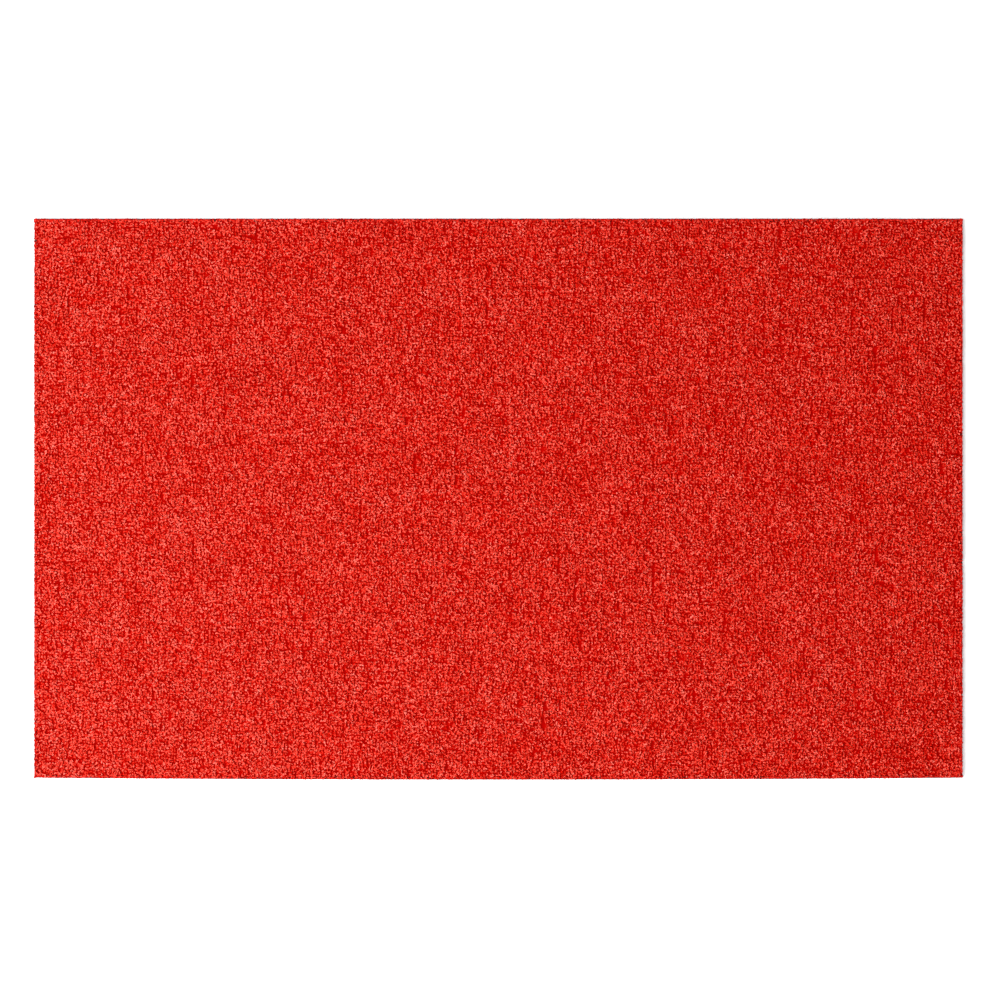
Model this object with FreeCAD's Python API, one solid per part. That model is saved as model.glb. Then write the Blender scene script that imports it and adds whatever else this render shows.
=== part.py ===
import FreeCAD, Part
import os

# A plain door mat: cut coir pile tufted in straight rows into one flat sheet of vinyl.
# Nothing is sewn, glued on or screwed. The vinyl is poured and cured around the roots
# of the tufts, the pile is shorn level, and pile and vinyl are then cut to size
# together, so every side of the mat is one straight cut through both.
#
# Millimetres. The origin is the middle of the underside. X runs along the long side,
# Y across the mat, Z up. The rows of tufts run along X, from the front (-Y) to the back.

# ---------------------------------------------------------------- driving dimensions
MAT_LENGTH = 762.0          # long side, along X
MAT_WIDTH = 457.0           # short side, along Y

VINYL_THICKNESS = 3.0       # backing sheet
ROOT_DEPTH = 1.8            # how deep the tuft roots reach down into the vinyl
ROOT_WIDTH = 5.0            # width of a row where it enters the vinyl

PILE_HEIGHT = 13.0          # from the vinyl's top face to the shorn tips
ROW_COUNT = 57              # rows of tufts across the mat
ROW_GAP = 0.2               # air between two rows where they are widest
SHOULDER_HEIGHT = 5.0       # height above the vinyl where a row reaches its full width
CROWN_DROP = 4.0            # how far a row's rounded-off edges drop below its tips
CROWN_INSET = 1.6           # how far the flat of the tips stays inside the full width

TUFT_SPACING = 6.5          # wanted distance between two tufts along a row
NOTCH_WIDTH = 2.2           # mouth of the V between two tufts, at the tips
NOTCH_DEPTH = 3.4           # depth of that V

# ---------------------------------------------------------------- what follows from them
row_pitch = MAT_WIDTH / ROW_COUNT
row_width = row_pitch - ROW_GAP
tuft_count = round(MAT_LENGTH / TUFT_SPACING)
tuft_pitch = MAT_LENGTH / tuft_count

root_z = VINYL_THICKNESS - ROOT_DEPTH
shoulder_z = VINYL_THICKNESS + SHOULDER_HEIGHT
tip_z = VINYL_THICKNESS + PILE_HEIGHT
crown_z = tip_z - CROWN_DROP
notch_z = tip_z - NOTCH_DEPTH

ALONG_MAT = FreeCAD.Vector(MAT_LENGTH, 0, 0)
LEFT_X = -MAT_LENGTH / 2


def row_centre(index):
    """The Y of a row's middle line; row 0 is the front one."""
    return -MAT_WIDTH / 2 + (index + 0.5) * row_pitch


def prism(outline, sweep):
    """A closed outline of (x, y, z) points swept along a vector into a solid."""
    points = [FreeCAD.Vector(*point) for point in outline]
    face = Part.Face(Part.makePolygon(points + points[:1]))
    return face.extrude(sweep)


def vinyl_sheet():
    """The backing: a sheet with one open channel for the roots of each row."""
    outline = [(LEFT_X, -MAT_WIDTH / 2, 0), (LEFT_X, -MAT_WIDTH / 2, VINYL_THICKNESS)]
    for index in range(ROW_COUNT):
        front = row_centre(index) - ROOT_WIDTH / 2
        back = row_centre(index) + ROOT_WIDTH / 2
        outline += [
            (LEFT_X, front, VINYL_THICKNESS),
            (LEFT_X, front, root_z),
            (LEFT_X, back, root_z),
            (LEFT_X, back, VINYL_THICKNESS),
        ]
    outline += [(LEFT_X, MAT_WIDTH / 2, VINYL_THICKNESS), (LEFT_X, MAT_WIDTH / 2, 0)]
    return prism(outline, ALONG_MAT)


def row_section():
    """A row without its notches, about Y = 0: root, flare, shoulder and crown."""
    half = [
        (ROOT_WIDTH / 2, root_z),
        (ROOT_WIDTH / 2, VINYL_THICKNESS),
        (row_width / 2, shoulder_z),
        (row_width / 2, crown_z),
        (row_width / 2 - CROWN_INSET, tip_z),
    ]
    right = [(LEFT_X, y, z) for y, z in half]
    left = [(LEFT_X, -y, z) for y, z in reversed(half)]
    return prism(right + left, ALONG_MAT)


def tuft_profile():
    """The side view of a row, with a V notch between every two tufts."""
    front = -row_width / 2
    outline = [(LEFT_X, front, root_z), (LEFT_X, front, tip_z)]
    for index in range(1, tuft_count):
        middle = LEFT_X + index * tuft_pitch
        outline += [
            (middle - NOTCH_WIDTH / 2, front, tip_z),
            (middle, front, notch_z),
            (middle + NOTCH_WIDTH / 2, front, tip_z),
        ]
    outline += [(-LEFT_X, front, tip_z), (-LEFT_X, front, root_z)]
    return prism(outline, FreeCAD.Vector(0, row_width, 0))


def tuft_row():
    """One row of tufts, about Y = 0."""
    return row_section().common(tuft_profile())


def save(node, shape):
    """One solid, in its own file."""
    shape.exportStep(os.path.join("parts", node + ".step"))
    print(node, "solids", len(shape.Solids), "valid", shape.isValid(), "mm3", round(shape.Volume))


os.makedirs("parts", exist_ok=True)
save("vinyl_backing", vinyl_sheet())

row = tuft_row().Solids[0]
for index in range(ROW_COUNT):
    placed = row.translated(FreeCAD.Vector(0, row_centre(index), 0))
    save(f"tuft_row_{index + 1:02d}", placed)
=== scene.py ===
import math

import bpy
import numpy as np
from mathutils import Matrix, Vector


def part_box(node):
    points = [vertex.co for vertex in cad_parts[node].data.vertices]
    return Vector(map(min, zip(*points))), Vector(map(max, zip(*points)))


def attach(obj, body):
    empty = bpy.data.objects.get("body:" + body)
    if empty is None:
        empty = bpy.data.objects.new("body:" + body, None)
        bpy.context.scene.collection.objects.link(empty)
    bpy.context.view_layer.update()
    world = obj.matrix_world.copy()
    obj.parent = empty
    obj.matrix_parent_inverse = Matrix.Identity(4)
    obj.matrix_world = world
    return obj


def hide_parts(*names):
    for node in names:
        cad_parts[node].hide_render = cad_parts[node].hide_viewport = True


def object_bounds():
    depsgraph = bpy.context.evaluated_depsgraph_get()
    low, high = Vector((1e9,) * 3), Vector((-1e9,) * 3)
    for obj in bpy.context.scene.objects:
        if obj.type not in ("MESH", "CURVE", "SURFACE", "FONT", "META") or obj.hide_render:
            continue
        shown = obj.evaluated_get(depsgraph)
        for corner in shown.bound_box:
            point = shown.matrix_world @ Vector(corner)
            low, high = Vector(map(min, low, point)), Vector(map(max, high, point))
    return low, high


# A red door mat: cut coir pile in straight rows on a sheet of dark vinyl, lying flat
# on a pale floor. Metres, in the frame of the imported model: X along the mat, Z up.
# Every tuft row of the model is replaced by its real fibres, one mesh for each row.

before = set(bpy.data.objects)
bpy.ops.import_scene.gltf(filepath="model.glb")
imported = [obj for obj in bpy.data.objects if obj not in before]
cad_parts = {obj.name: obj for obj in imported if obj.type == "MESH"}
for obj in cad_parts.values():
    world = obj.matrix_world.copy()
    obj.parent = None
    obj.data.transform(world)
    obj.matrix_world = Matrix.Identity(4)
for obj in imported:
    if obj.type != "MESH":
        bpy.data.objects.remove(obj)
cad_low, cad_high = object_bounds()

MM = 0.001
SEED = 20

# ------------------------------------------------------------ sizes from the frame
row_names = sorted(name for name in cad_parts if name.startswith("tuft_row_"))
row_boxes = [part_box(name) for name in row_names]
vinyl_low, vinyl_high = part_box("vinyl_backing")

mat_length = cad_high.x - cad_low.x
mat_width = cad_high.y - cad_low.y
row_pitch = mat_width / len(row_names)
vinyl_top = vinyl_high.z
root_z = row_boxes[0][0].z
tip_z = cad_high.z
pile_height = tip_z - vinyl_top

# ------------------------------------------------------------ the tufts
TUFT_SPACING = 6.5 * MM         # wanted distance between tufts along a row
STRAY_ALONG = 0.4 * MM          # how far a tuft strays from its place along the row
STRAY_ACROSS = 0.3 * MM         # and across it
COMMON_LEAN = 0.9 * MM          # how far the tufts of a patch lean together
OWN_LEAN = 0.35 * MM            # and how far each leans by itself
UNEVEN_TUFTS = 0.2 * MM         # how unevenly high the tufts are
HIGHEST_TUFT = 0.3 * MM         # and how far above the shorn level they may stand
WORN_DROP = 0.35 * MM           # how much lower the pile stands in a worn patch
THIN_SHARE = 0.03               # share of the tufts that are thin,
THIN_IF_WORN = 0.02             # how much more of them there are in a worn patch,
THIN_DROP = 1.2 * MM            # and how much lower they stand
LEAN_SIZE = 60 * MM             # about how large the patches of one lean are,
MOTTLE_SIZE = 45 * MM           # those of one tone,
WORN_SIZE = 35 * MM             # and the worn ones

# ------------------------------------------------------------ the fibres
LOCKS_ALONG = 3                 # a tuft's fibres cling together in small locks,
LOCKS_ACROSS = 4                # so many along the row and so many across it
LOCK_SHIFT = 0.7                # how unevenly the locks are spread, from 0 to 1
LOCK_RADIUS = 0.60 * MM         # how far a lock's fibres lie from its middle
UNEVEN_LOCKS = 1.3 * MM         # how far short of the shorn level a lock may end
TIP_OVERLAP = 1.03              # the locks' tips reach this share past their tuft's bounds
OUTWARD = 0.35                  # how much more the locks lean outwards than at random
LEAN_ANGLE = 27                 # degrees that a lock's fibres lean, most of them less,
LEAST_LEAN, MOST_LEAN = 3, 52   # and between these
LONGEST_LEAN = 3.2 * MM         # how far sideways a tip reaches from where it is rooted
STRAIGHT_PER_LOCK = 8           # fibres of a lock that run straight
BENT_PER_LOCK = 1               # fibres of a lock that lean more towards their tips
FIBRE_RADIUS = 0.26 * MM        # mean; coir is coarse and uneven,
THINNEST, THICKEST = 0.7, 1.3   # between these shares of the mean
UNEVEN_TIPS = 1.3 * MM          # how far short of its lock a fibre may end
TIP_SPLAY = 0.3 * MM            # how far the tips of a lock spread apart
ROOT_REACH = 2.3 * MM           # how far from its row's middle line a fibre is rooted
HIDDEN_SHARE = 0.10             # inner fibres start this far up, down among the others,
UNEVEN_STARTS = 0.3 * MM        # more or less,
START_SHARE = 0.65              # and this far from the root towards the knee
KNEE_SHARE = 0.66               # where up the pile a bent fibre starts to lean more
MORE_NEAR = 1.3                 # power that puts more of a random spread near its start

# ------------------------------------------------------------ the dye, with painted light and shade, as places on the map
LOCK_TONES = 0.12               # how much the locks of a tuft differ in tone,
LEAST_TONE, MOST_TONE = 0.04, 0.96      # within these,
FIBRE_TONES = 0.22              # and the fibres of a lock,
DEEPEST, PALEST = 0.01, 0.97    # within these, which keep their three sides on the map
TUFT_TONES = 0.03               # how much the tufts of a patch differ
MOTTLING = 0.02                 # and the patches
SHORT_LOCK_SHADE = 0.25              # how much deeper in tone a short lock is painted than a long one: painted shade, as it stands lower in the pile
MEAN_DEPTH = 0.4                # how short most locks are, as a share of the shortest
TONE_STEP = 0.006               # how far a fibre's three sides lie apart in tone
LEFT_PAINTED_LIGHT = 0.05                   # how much paler the mat is painted at its left end than its middle: painted light on the lamps' side
FRONT_PAINTED_LIGHT = 0.015            # and at its front edge, painted light too
SKYWARD = 0.85                  # how far a fibre's shading leans to that of the whole pile

# ------------------------------------------------------------ stray curls on the pile
CURLS_PER_ROW = 40              # fibres that curl over on top of a row
CURL_POINTS = 6                 # points along each
CURL_RADII = 0.9 * MM, 2.6 * MM         # of the arcs that they lie in
CURL_SWEEPS = 70, 210           # degrees of a circle that they run through
CURL_STRAY = 2 * MM             # how far from their tuft they lie
CURL_RISE = 1.3 * MM            # how high they arch
CURL_ARCH = 0.85                # and how much of a full arch they make
CURL_INSET = 0.4 * MM           # how far inside the mat they stay
CURL_THICKNESS = 0.75, 1.15     # shares of the mean radius
CURL_TILT = 0.1                 # how far their sides are turned off the upright
CURL_PALENESS = 0.1             # how much paler they are than their tuft
CURL_START = 0.5                # how far up the map they begin

# ------------------------------------------------------------ the mat's cut sides
PILE_INSET = 0.2 * MM           # the knife leaves the pile this far inside the outline
VINYL_OUTSET = 0.3 * MM         # and the vinyl this far outside it
WIDER_CUT = 1.8 * MM            # how much wider than its nominal width the mat was cut
FRONT_BOW = 1.6 * MM            # how far the front edge bulges in its middle

RIM_PER_METRE = 6000            # extra upright fibres along the cut sides
RIM_DEPTH = 2.0 * MM            # how far in they stand
RIM_POINTS = (-0.13, 0.02, 0.5, 1.0)    # heights of a fibre's points, as shares of the pile
RIM_SWAY = 0.7 * MM             # how far a fibre leans along the side
RIM_SPLAY = 0.12 * MM           # and out from it or into the pile
RIM_BEND = 0.12 * MM            # how far its middle is out of line
OUTER_RIM = PILE_INSET + 0.6 * MM       # tufts' fibres that end further out were cut away
OUTER_SHADED_TIP, INNER_SHADED_TIP = 0.15, 0.42       # how far up the map rim tips reach, keeping them in its painted shade; the outer ones lower, darker still, as painted shade at the cut edge

# ------------------------------------------------------------ the dense pile low down
CORE_TOP = 0.60                 # share of the pile's height
CORE_LUMPS = 0.6 * MM           # how uneven its top is
CORE_END_INSET = 2.2 * MM       # how far it stays inside the mat's short sides
CORE_SIDE_INSET = 2.4 * MM      # and inside its long ones
CORE_SHADED_TONES = 0.04, 0.3          # its deepest tone, and how far it goes on from there: deep, as painted shade down in the pile
CORE_SHADES = 0.01, 0.16        # and the same up the map, low where the map paints shade

# ------------------------------------------------------------ the vinyl's edges
EDGE_ROUND = 0.25 * MM          # how far its rounded edges are set back
EDGE_WANDER = 0.1 * MM          # how far the knife strayed,
WANDER_SIZE = 30 * MM           # in stretches of about this length
WANDER_SHIFT = 0.3              # metres along the field between the sheet's two faces

tuft_count = round(mat_length / TUFT_SPACING)
tuft_pitch = mat_length / tuft_count


def patches(rng, size, waves=36):
    """A smooth random field over the mat, mostly -1 to 1, in patches of about this size."""
    heading = rng.uniform(0, 2 * np.pi, waves)
    number = 2 * np.pi / (size * rng.uniform(0.7, 2.0, waves))
    phase = rng.uniform(0, 2 * np.pi, waves)

    def field(x, y):
        turn = np.multiply.outer(x, number * np.cos(heading))
        turn += np.multiply.outer(y, number * np.sin(heading))
        return np.cos(turn + phase).sum(-1) / np.sqrt(waves)

    return field


field_rng = np.random.default_rng(SEED)
lean_x, lean_y = patches(field_rng, LEAN_SIZE), patches(field_rng, LEAN_SIZE)
mottled, worn = patches(field_rng, MOTTLE_SIZE), patches(field_rng, WORN_SIZE)


def as_cut(y, x):
    """Where a place at y lies on the real sheet, a little wide and bulging at the front."""
    along = 2 * (x - cad_low.x) / mat_length - 1
    nearness = (cad_high.y - y) / mat_width
    return y * (1 + WIDER_CUT / mat_width) - FRONT_BOW * (1 - along**2) * nearness**2


def unit(vectors):
    """The same directions with a length of 1."""
    return vectors / np.maximum(np.linalg.norm(vectors, axis=-1, keepdims=True), 1e-12)


class Strands:
    """Collects closed three-sided strands and makes one mesh of them."""

    def __init__(self):
        self.places, self.normals, self.maps = [], [], []
        self.faces, self.sides = [], []
        self.count = 0

    def corners(self, places, normals, maps, faces):
        """Adds vertices, where they lie on the map, and groups of faces, each with the
        number of sides that its faces have."""
        self.places.append(places.reshape(-1, 3))
        self.normals.append(normals.reshape(-1, 3))
        self.maps.append(maps.reshape(-1, 2))
        for group, sides in faces:
            self.faces.append((group + self.count).ravel())
            self.sides.append(np.full(group.size // sides, sides))
        self.count += places.size // 3

    def add(self, path, radius, across, tone, low=0.0, high=1.0):
        """Strands along paths (strand, point, xyz), each one pointed at its hidden root.
        across holds a direction off each path. On the map a strand's tone runs across
        and its length upwards, from low to high."""
        many, points = path.shape[:2]
        along = unit(np.gradient(path, axis=1))[:, 1:]
        first = np.broadcast_to(across[:, None], along.shape)
        first = unit(first - along * (first * along).sum(-1, keepdims=True))
        second = np.cross(along, first)
        turn = (np.arange(3) * 2 * np.pi / 3)[:, None]
        rim = np.cos(turn) * first[:, :, None] + np.sin(turn) * second[:, :, None]
        rings = path[:, 1:, None] + radius[:, None, None, None] * rim
        places = np.concatenate([path[:, :1], rings.reshape(many, -1, 3)], 1)
        up = np.broadcast_to([0.0, 0.0, 1.0], rim.shape)
        soft = unit(rim * (1 - SKYWARD) + up * SKYWARD).reshape(many, -1, 3)
        normals = np.concatenate([up[:, 0, :1], soft], 1)

        heights = low + (high - low) * np.linspace(0.01, 0.99, points)
        up_map = heights[1:, None] + TONE_STEP * np.array([0, 1, 0])
        up_map = np.concatenate([heights[:1], up_map.ravel()])
        steps = np.concatenate([[1], np.tile(np.arange(3), points - 1)])
        across_map = tone[:, None] + TONE_STEP * steps
        maps = np.stack(np.broadcast_arrays(across_map, up_map), -1)

        start = (np.arange(many) * places.shape[1])[:, None, None]
        ring = 1 + np.arange(3)
        after = 1 + (np.arange(3) + 1) % 3
        point = np.stack([0 * ring, after, ring], -1)
        quad = np.stack([ring, after, after + 3, ring + 3], -1)
        faces = [(start + point, 3), (start + ring + 3 * (points - 2), 3)]
        faces += [(start + quad + 3 * level, 4) for level in range(points - 2)]
        self.corners(places, normals, maps, faces)

    def mesh(self, name):
        """One mesh of all the strands, shaped to the sheet as it was cut."""
        mesh = bpy.data.meshes.new(name)
        places = np.concatenate(self.places)
        places[:, 1] = as_cut(places[:, 1], places[:, 0])
        corner = np.concatenate(self.faces).astype(np.int32)
        sides = np.concatenate(self.sides).astype(np.int32)
        mesh.vertices.add(len(places))
        mesh.vertices.foreach_set("co", places.astype(np.float32).ravel())
        mesh.loops.add(len(corner))
        mesh.loops.foreach_set("vertex_index", corner)
        mesh.polygons.add(len(sides))
        mesh.polygons.foreach_set("loop_start", np.cumsum(sides) - sides)
        spread = np.concatenate(self.maps)[corner]
        layer = mesh.uv_layers.new(name="OFBake", do_init=False)
        layer.uv.foreach_set("vector", spread.astype(np.float32).ravel())
        mesh.shade_smooth()
        mesh.update(calc_edges=True)
        mesh.normals_split_custom_set_from_vertices(np.concatenate(self.normals))
        return mesh


def flat_directions(rng, many):
    """Level directions, any way round."""
    angle = rng.uniform(0, 2 * np.pi, many)
    return np.stack([np.cos(angle), np.sin(angle), np.zeros(many)], -1)


def row_tufts(rng, middle_y):
    """The tufts of one row: place, lean, drop below the shorn level and tone of each, the tone
    with painted light towards the left end and the front edge.
    """
    x = cad_low.x + (np.arange(tuft_count) + 0.5) * tuft_pitch
    x = x + rng.normal(0, STRAY_ALONG, tuft_count)
    y = middle_y + rng.normal(0, STRAY_ACROSS, tuft_count)
    lean = np.stack([lean_x(x, y), lean_y(x, y)], -1) * COMMON_LEAN
    lean = lean + rng.normal(0, OWN_LEAN, (tuft_count, 2))
    thin = rng.random(tuft_count) < THIN_SHARE + THIN_IF_WORN * worn(x, y)
    short = WORN_DROP * worn(x, y) + rng.normal(0, UNEVEN_TUFTS, tuft_count) + THIN_DROP * thin
    tone = MOTTLING * mottled(x, y) + rng.normal(0, TUFT_TONES, tuft_count)
    # painted light: tones paler towards the left end and the front edge, the side of the lamps
    tone -= LEFT_PAINTED_LIGHT * 2 * x / mat_length + FRONT_PAINTED_LIGHT * 2 * y / mat_width
    return x, y, lean, np.maximum(short, -HIGHEST_TUFT), tone


def tones(rng, many):
    """Places on the map across which the dye goes from deep to pale."""
    return rng.normal(0.5, LOCK_TONES, many).clip(LEAST_TONE, MOST_TONE)


def inside_mat(x, y, margin):
    """Keeps places within the mat's outline, less a margin."""
    return (
        x.clip(cad_low.x + margin, cad_high.x - margin),
        y.clip(cad_low.y + margin, cad_high.y - margin),
    )


def add_pile(strands, rng, tufts):
    """The fibres of a row's tufts, a few to a lock, standing close and shorn at the top."""
    locks = LOCKS_ALONG * LOCKS_ACROSS
    x, y, lean, short, tone = (np.repeat(part, locks, axis=0) for part in tufts)
    many = len(x)
    cell = np.stack(np.divmod(np.arange(locks), LOCKS_ACROSS), -1)
    cells = np.tile(cell, (tuft_count, 1))
    shift = LOCK_SHIFT * (rng.random((many, 2)) - 0.5)
    place = 2 * (cells + 0.5 + shift) / (LOCKS_ALONG, LOCKS_ACROSS) - 1
    centre = np.stack([x, y], -1)
    low = centre + place * (tuft_pitch / 2, ROOT_REACH)
    tip = centre + place * (tuft_pitch / 2, row_pitch / 2) * TIP_OVERLAP + lean
    depth = rng.random(many) ** MORE_NEAR
    top = tip_z - short - UNEVEN_LOCKS * depth
    angle = np.radians(np.abs(rng.normal(0, LEAN_ANGLE, many)).clip(LEAST_LEAN, MOST_LEAN))
    rise = top - (vinyl_top + KNEE_SHARE * pile_height)
    reach = (rise * np.tan(angle)).clip(0, LONGEST_LEAN)
    heading = unit(OUTWARD * place + rng.normal(0, 1, (many, 2)))
    middle = tip - heading * reach[:, None]
    # short locks stand lower in the pile and are painted a deeper tone: painted shade
    tone = tone + tones(rng, many) + SHORT_LOCK_SHADE * (MEAN_DEPTH - depth)
    for fibres, bent in ((STRAIGHT_PER_LOCK, False), (BENT_PER_LOCK, True)):
        add_fibres(strands, rng, fibres, bent, low, middle, tip, top, tone)


def add_fibres(strands, rng, fibres, bent, low, middle, tip, top, tone):
    """That many fibres of each lock, straight or with a bend below the tip."""
    low, middle, tip = (np.repeat(part, fibres, axis=0) for part in (low, middle, tip))
    top, tone = np.repeat(top, fibres), np.repeat(tone, fibres)
    many = len(top)
    beside = flat_directions(rng, many)[:, :2] * LOCK_RADIUS * np.sqrt(rng.random((many, 1)))
    splay = rng.normal(0, TIP_SPLAY, (many, 2))
    top = top - UNEVEN_TIPS * rng.random(many)
    start_z = vinyl_top + HIDDEN_SHARE * pile_height + rng.normal(0, UNEVEN_STARTS, many)
    start = low * (1 - START_SHARE) + middle * START_SHARE + beside
    end = tip + beside + splay
    stops = [(start, start_z), (end, top)]
    if bent:
        knee_z = np.full(many, vinyl_top + KNEE_SHARE * pile_height)
        stops.insert(1, (middle + beside, knee_z))
    path = []
    for flat, height in stops:
        flat_x, flat_y = inside_mat(flat[:, 0], flat[:, 1], PILE_INSET)
        path.append(np.stack([flat_x, flat_y, height], -1))
    path = np.stack(path, 1)
    radius = FIBRE_RADIUS * rng.uniform(THINNEST, THICKEST, many)
    across = flat_directions(rng, many)
    own = (tone + rng.normal(0, FIBRE_TONES, many)).clip(DEEPEST, PALEST)
    beyond_x, beyond_y = np.abs(end[:, 0]) - cad_high.x, np.abs(end[:, 1]) - cad_high.y
    uncut = np.maximum(beyond_x, beyond_y) < -OUTER_RIM
    strands.add(path[uncut], radius[uncut], across[uncut], own[uncut])


def add_curls(strands, rng, tufts, many):
    """Stray fibres that bend right over and lie in short arcs on the pile."""
    pick = rng.integers(0, tuft_count, many)
    x, y, _, short, tone = (part[pick] for part in tufts)
    radius = rng.uniform(*CURL_RADII, many)
    sweep = np.radians(rng.uniform(*CURL_SWEEPS, many)) * rng.choice([-1, 1], many)
    heading = rng.uniform(0, 2 * np.pi, many)
    turn = heading[:, None] + sweep[:, None] * np.linspace(0, 1, CURL_POINTS)
    arch = np.sin(np.linspace(0, np.pi * CURL_ARCH, CURL_POINTS)) * CURL_RISE
    centre_x = x + rng.normal(0, CURL_STRAY, many)
    centre_y = y + rng.normal(0, CURL_STRAY, many)
    path_x = centre_x[:, None] + radius[:, None] * np.cos(turn)
    path_y = centre_y[:, None] + radius[:, None] * np.sin(turn)
    path_z = tip_z - short[:, None].clip(0) - CURL_RISE + arch
    path_x, path_y = inside_mat(path_x, path_y, CURL_INSET)
    tilt_x, tilt_y = rng.normal(0, CURL_TILT, many), rng.normal(0, CURL_TILT, many)
    strands.add(
        np.stack([path_x, path_y, path_z], -1),
        FIBRE_RADIUS * rng.uniform(*CURL_THICKNESS, many),
        unit(np.stack([tilt_x, tilt_y, np.ones(many)], -1)),
        (tone + tones(rng, many) + CURL_PALENESS).clip(DEEPEST, PALEST),
        low=CURL_START,
    )


def add_rim(strands, rng, start, end, outward):
    """Upright fibres along one cut side of the mat, from start to end (x, y)."""
    start, end, outward = np.array(start), np.array(end), np.array(outward)
    many = max(1, round(np.linalg.norm(end - start) * RIM_PER_METRE))
    place = start + (end - start) * rng.random(many)[:, None]
    inset = PILE_INSET + RIM_DEPTH * rng.random(many) ** MORE_NEAR
    base = place - outward * inset[:, None]
    sway = rng.normal(0, RIM_SWAY, (many, 2)) * (1 - np.abs(outward))
    splay = outward * rng.normal(0, RIM_SPLAY, many)[:, None]
    layers = []
    for share in RIM_POINTS:
        flat = base + (sway + splay) * max(share, 0)
        flat_x, flat_y = inside_mat(flat[:, 0], flat[:, 1], 0)
        height = np.full(many, vinyl_top + pile_height * share)
        layers.append(np.stack([flat_x, flat_y, height], -1))
    path = np.stack(layers, 1)
    path[:, 2:-1, :2] += rng.normal(0, RIM_BEND, (many, len(RIM_POINTS) - 3, 2))
    path[:, -1, 2] -= UNEVEN_TIPS * rng.random(many)
    radius = FIBRE_RADIUS * rng.uniform(THINNEST, THICKEST, many)
    across, tone = flat_directions(rng, many), tones(rng, many)
    # rim fibres end low on the map, in its painted shade, the outermost lowest
    for some, high in ((inset < OUTER_RIM, OUTER_SHADED_TIP), (inset >= OUTER_RIM, INNER_SHADED_TIP)):
        strands.add(path[some], radius[some], across[some], tone[some], high=high)


def add_core(strands, rng, middle_y):
    """The dense lower pile of a row as one lumpy closed bar, hidden among the fibres.
    Its section is narrow in the vinyl and meets the next row's higher up."""
    slices = 2 * tuft_count + 1
    x = np.linspace(cad_low.x + CORE_END_INSET, cad_high.x - CORE_END_INSET, slices)
    half, top = row_pitch / 2, vinyl_top + CORE_TOP * pile_height
    section = np.array([
        [-half * 0.6, root_z + 0.4 * MM],
        [half * 0.6, root_z + 0.4 * MM],
        [half * 0.7, vinyl_top + 0.2 * MM],
        [half * 1.02, vinyl_top + 0.3 * pile_height],
        [half * 1.02, top],
        [half * 0.35, top],
        [-half * 0.35, top],
        [-half * 1.02, top],
        [-half * 1.02, vinyl_top + 0.3 * pile_height],
        [-half * 0.7, vinyl_top + 0.2 * MM],
    ])
    many = len(section)
    places = np.zeros((slices, many, 3))
    places[:, :, 0] = x[:, None]
    places[:, :, 1:] = section
    top_points = section[:, 1] == top
    places[:, top_points, 2] += rng.normal(0, CORE_LUMPS, (slices, top_points.sum()))
    front, back = cad_low.y + CORE_SIDE_INSET, cad_high.y - CORE_SIDE_INSET
    places[:, :, 1] = (middle_y + places[:, :, 1]).clip(front, back)
    # the core's colour sits low on both axes of the map: painted shade deep in the pile
    maps = np.zeros((slices, many, 2))
    for side, (least, spread) in enumerate((CORE_SHADED_TONES, CORE_SHADES)):
        maps[:, :, side] = least + spread * rng.random((slices, many))
    ring = np.arange(many)
    after = (ring + 1) % many
    start = (np.arange(slices - 1) * many)[:, None, None]
    quads = start + np.stack([ring, after, after + many, ring + many], -1)
    ends = np.stack([ring[::-1], ring + many * (slices - 1)])
    up = np.broadcast_to([0.0, 0.0, 1.0], places.shape)
    strands.corners(places, up, maps, [(quads, 4), (ends, many)])


# ------------------------------------------------------------ materials
def material(name):
    """A new material with its nodes, links and shader."""
    made = bpy.data.materials.new(name)
    made.use_nodes = True
    nodes = made.node_tree.nodes
    return made, nodes, made.node_tree.links, nodes["Principled BSDF"]


def ramp(nodes, stops):
    """A colour ramp with these (place, colour) stops."""
    node = nodes.new("ShaderNodeValToRGB")
    while len(node.color_ramp.elements) < len(stops):
        node.color_ramp.elements.new(0.5)
    for element, (place, colour) in zip(node.color_ramp.elements, stops):
        element.position = place
        element.color = (*colour, 1)
    return node


def grey(value):
    return value, value, value


def multiplied(nodes, links, first, second):
    """The product of two colours."""
    node = nodes.new("ShaderNodeMix")
    node.data_type, node.blend_type = "RGBA", "MULTIPLY"
    node.inputs["Factor"].default_value = 1.0
    links.new(first, node.inputs["A"])
    links.new(second, node.inputs["B"])
    return node.outputs["Result"]


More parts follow.
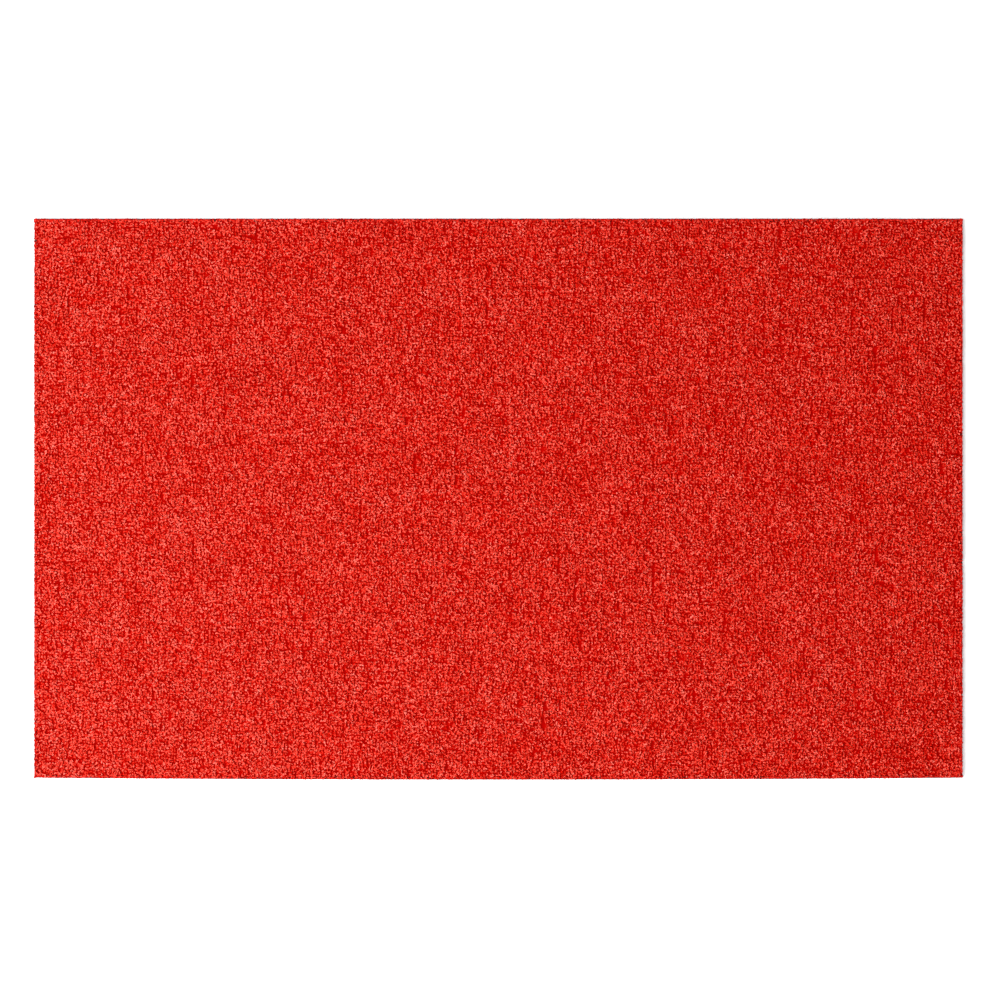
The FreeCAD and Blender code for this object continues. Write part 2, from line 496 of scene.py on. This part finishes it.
def coir_material():
    """Dyed coir: each fibre has its own tone and is streaked along. Up each fibre, painted
    shade darkens the root deep in the pile, and painted light makes the upper fibre and its
    shorn tip paler."""
    made, nodes, links, shader = material("dyed_coir")
    where = nodes.new("ShaderNodeUVMap")
    where.uv_map = "OFBake"
    split = nodes.new("ShaderNodeSeparateXYZ")
    links.new(where.outputs["UV"], split.inputs[0])

    tone = ramp(nodes, [
        (0.0, (0.43, 0.0, 0.0)),
        (0.25, (0.52, 0.006, 0.002)),
        (0.5, (0.62, 0.023, 0.0125)),
        (0.75, (0.735, 0.061, 0.039)),
        (1.0, (0.86, 0.152, 0.118)),
    ])
    links.new(split.outputs["X"], tone.inputs["Fac"])

    # Up the map, root to tip: painted shade deep in the pile (dark, pure red low down), painted
    # light growing up the fibre, and the most painted light on the shorn cap at 0.988
    height = ramp(nodes, [
        (0.0, (0.38, 0.0, 0.0)),
        (0.2, (0.56, 0.01, 0.01)),
        (0.4, (0.84, 0.4, 0.4)),
        (0.8, (0.86, 0.9, 0.9)),
        (0.977, (0.88, 1.0, 1.0)),
        (0.988, (1.0, 1.5, 1.5)),
    ])
    links.new(split.outputs["Y"], height.inputs["Fac"])

    fine_across, coarse_along = 150, 7      # the streaks' grain on the map
    stretch = nodes.new("ShaderNodeMapping")
    stretch.inputs["Scale"].default_value = (fine_across, coarse_along, 1)
    links.new(where.outputs["UV"], stretch.inputs["Vector"])
    streak = nodes.new("ShaderNodeTexNoise")
    streak.inputs["Scale"].default_value = 1.0
    streak.inputs["Detail"].default_value = 4.0
    links.new(stretch.outputs["Vector"], streak.inputs["Vector"])
    streaks = ramp(nodes, [(0.3, (0.86, 0.74, 0.74)), (0.7, (1.04, 1.1, 1.1))])
    links.new(streak.outputs["Fac"], streaks.inputs["Fac"])

    shaded = multiplied(nodes, links, tone.outputs["Color"], height.outputs["Color"])
    streaked = multiplied(nodes, links, shaded, streaks.outputs["Color"])
    links.new(streaked, shader.inputs["Base Color"])

    gloss = ramp(nodes, [(0.3, grey(0.48)), (0.7, grey(0.68))])
    links.new(streak.outputs["Fac"], gloss.inputs["Fac"])
    links.new(gloss.outputs["Color"], shader.inputs["Roughness"])
    shader.inputs["IOR"].default_value = 1.25
    shader.inputs["Specular IOR Level"].default_value = 0.2
    shader.inputs["Specular Tint"].default_value = (1, 0.12, 0.06, 1)
    return made


def vinyl_material():
    """Dark matt vinyl with the fine woven print of the belt that it was cured on."""
    made, nodes, links, shader = material("dark_vinyl")
    where = nodes.new("ShaderNodeTexCoord")
    cloud = nodes.new("ShaderNodeTexNoise")
    cloud.inputs["Scale"].default_value = 18
    cloud.inputs["Detail"].default_value = 8
    links.new(where.outputs["Object"], cloud.inputs["Vector"])
    colour = ramp(nodes, [(0.3, (0.009, 0.008, 0.008)), (0.7, (0.020, 0.017, 0.017))])
    links.new(cloud.outputs["Fac"], colour.inputs["Fac"])
    links.new(colour.outputs["Color"], shader.inputs["Base Color"])
    rough = ramp(nodes, [(0.3, grey(0.52)), (0.7, grey(0.74))])
    links.new(cloud.outputs["Fac"], rough.inputs["Fac"])
    links.new(rough.outputs["Color"], shader.inputs["Roughness"])
    shader.inputs["Specular IOR Level"].default_value = 0.2

    weave_pitch = 3.0 * MM
    bands_per_unit = 20 / (2 * math.pi)     # of a wave texture whose scale is 1
    weave = []
    for direction in ("X", "Y"):
        wave = nodes.new("ShaderNodeTexWave")
        wave.wave_type, wave.bands_direction = "BANDS", direction
        wave.inputs["Scale"].default_value = 1 / (bands_per_unit * weave_pitch)
        wave.inputs["Distortion"].default_value = 0.6
        links.new(where.outputs["Object"], wave.inputs["Vector"])
        weave.append(wave)
    woven = nodes.new("ShaderNodeMath")
    woven.operation = "MULTIPLY"
    links.new(weave[0].outputs["Fac"], woven.inputs[0])
    links.new(weave[1].outputs["Fac"], woven.inputs[1])
    bump = nodes.new("ShaderNodeBump")
    bump.inputs["Strength"].default_value = 0.6
    bump.inputs["Distance"].default_value = 0.3 * MM
    links.new(woven.outputs[0], bump.inputs["Height"])
    links.new(bump.outputs["Normal"], shader.inputs["Normal"])
    return made


# ------------------------------------------------------------ pieces
def show(name, mesh, made, slot, *nodes):
    """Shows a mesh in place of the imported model's nodes."""
    piece = bpy.data.objects.new(name, mesh)
    bpy.context.scene.collection.objects.link(piece)
    mesh.materials.append(made)
    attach(piece, "root")
    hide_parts(*nodes)
    return piece


def make_row(index, rng, made):
    """All fibres of one row, as one piece."""
    low, high = row_boxes[index]
    middle_y = (low.y + high.y) / 2
    front, back = middle_y - row_pitch / 2, middle_y + row_pitch / 2
    strands = Strands()
    add_core(strands, rng, middle_y)
    tufts = row_tufts(rng, middle_y)
    add_pile(strands, rng, tufts)
    add_curls(strands, rng, tufts, CURLS_PER_ROW)
    add_rim(strands, rng, (cad_low.x, front), (cad_low.x, back), (-1, 0))
    add_rim(strands, rng, (cad_high.x, front), (cad_high.x, back), (1, 0))
    if index == 0:
        add_rim(strands, rng, (cad_low.x, front), (cad_high.x, front), (0, -1))
    if index == len(row_names) - 1:
        add_rim(strands, rng, (cad_low.x, back), (cad_high.x, back), (0, 1))
    name = f"coir_{row_names[index]}"
    return show(name, strands.mesh(name), made, "coir_pile", row_names[index])


def make_backing(made):
    """The vinyl sheet, its long edges cut a little unevenly by the knife."""
    along, across, up = 100, 60, 4
    x = np.linspace(vinyl_low.x - VINYL_OUTSET, vinyl_high.x + VINYL_OUTSET, along + 1)
    y = np.linspace(vinyl_low.y - VINYL_OUTSET, vinyl_high.y + VINYL_OUTSET, across + 1)
    z = np.linspace(0, 1, up + 1)
    wander = patches(np.random.default_rng(SEED + 1), WANDER_SIZE)
    loop = [(i, 0) for i in range(along)] + [(along, j) for j in range(across)]
    loop += [(i, across) for i in range(along, 0, -1)] + [(0, j) for j in range(across, 0, -1)]
    verts, faces, number = [], [], {}

    def vertex(i, j, k):
        """The number of a vertex, which is made when it is first asked for."""
        if (i, j, k) not in number:
            number[i, j, k] = len(verts)
            end, side = i in (0, along), j in (0, across)
            level_x = x[i] + WANDER_SHIFT * z[k]
            cut = EDGE_WANDER * abs(float(wander(np.array(level_x), np.array(y[j]))))
            inwards = EDGE_ROUND * (k in (0, up)) + cut
            px = x[i] - np.sign(x[i]) * inwards * end
            py = y[j] - np.sign(y[j]) * inwards * side
            pz = vinyl_low.z + z[k] * (vinyl_high.z - vinyl_low.z)
            verts.append((px, as_cut(py, px), pz))
        return number[i, j, k]

    for k, flip in ((0, True), (up, False)):
        for i in range(along):
            for j in range(across):
                square = [(i, j), (i + 1, j), (i + 1, j + 1), (i, j + 1)]
                face = [vertex(*corner, k) for corner in square]
                faces.append(face[::-1] if flip else face)
    for k in range(up):
        for a, b in zip(loop, loop[1:] + loop[:1]):
            faces.append([vertex(*a, k), vertex(*b, k), vertex(*b, k + 1), vertex(*a, k + 1)])
    mesh = bpy.data.meshes.new("vinyl_sheet")
    mesh.from_pydata(verts, [], faces)
    return show("vinyl_sheet", mesh, made, "vinyl", "vinyl_backing")


# ------------------------------------------------------------ camera, light and floor
MAT_SHARE = 0.9296              # the mat's long side as a share of the picture's width
CAMERA_HEIGHT = 6.0             # above the tips of the pile
AIM_X, AIM_Y = 1.35 * MM, -1.45 * MM    # the mat lies a little off the picture's middle
FLOOR_HALF = 6.0                # half of the floor's side
FLOOR_GAP = 0.2 * MM            # keeps the floor clear of the mat's flat underside


def make_camera():
    """Looks straight down on the mat."""
    data = bpy.data.cameras.new("camera")
    data.sensor_width = 36
    data.lens = data.sensor_width * CAMERA_HEIGHT / (mat_length / MAT_SHARE)
    camera = bpy.data.objects.new("camera", data)
    camera.location = (AIM_X, AIM_Y, tip_z + CAMERA_HEIGHT)
    bpy.context.scene.collection.objects.link(camera)
    bpy.context.scene.camera = camera


def make_light(name, place, size, power):
    """A square soft light at place, aimed at the mat's middle."""
    data = bpy.data.lights.new(name, "AREA")
    data.size, data.energy = size, power
    light = bpy.data.objects.new(name, data)
    light.location = place
    light.rotation_mode = "QUATERNION"
    light.rotation_quaternion = light.location.to_track_quat("Z", "Y")
    bpy.context.scene.collection.objects.link(light)


def make_floor():
    """A plain pale floor."""
    mesh = bpy.data.meshes.new("floor")
    corners = [(-1, -1), (1, -1), (1, 1), (-1, 1)]
    places = [(x * FLOOR_HALF, y * FLOOR_HALF, -FLOOR_GAP) for x, y in corners]
    mesh.from_pydata(places, [], [(0, 1, 2, 3)])
    made, _, _, shader = material("pale_floor")
    shader.inputs["Base Color"].default_value = (0.98, 0.98, 0.98, 1)
    shader.inputs["Roughness"].default_value = 0.9
    mesh.materials.append(made)
    floor = bpy.data.objects.new("floor", mesh)
    bpy.context.scene.collection.objects.link(floor)


def make_surroundings():
    """A white studio with two soft lights, both nearly overhead."""
    world = bpy.data.worlds.new("studio")
    world.use_nodes = True
    background = world.node_tree.nodes["Background"]
    background.inputs["Color"].default_value = (1, 1, 1, 1)
    background.inputs["Strength"].default_value = 1.0
    bpy.context.scene.world = world
    bpy.context.scene.view_settings.view_transform = "Standard"
    make_light("key_light", place=(-1.6, -0.9, 3.0), size=1.3, power=84)
    make_light("top_light", place=(-0.6, -0.2, 3.2), size=1.2, power=121)


make_camera()
make_surroundings()
make_floor()

coir, vinyl = coir_material(), vinyl_material()
backing = make_backing(vinyl)
rows = [make_row(i, np.random.default_rng([SEED, i]), coir) for i in range(len(row_names))]
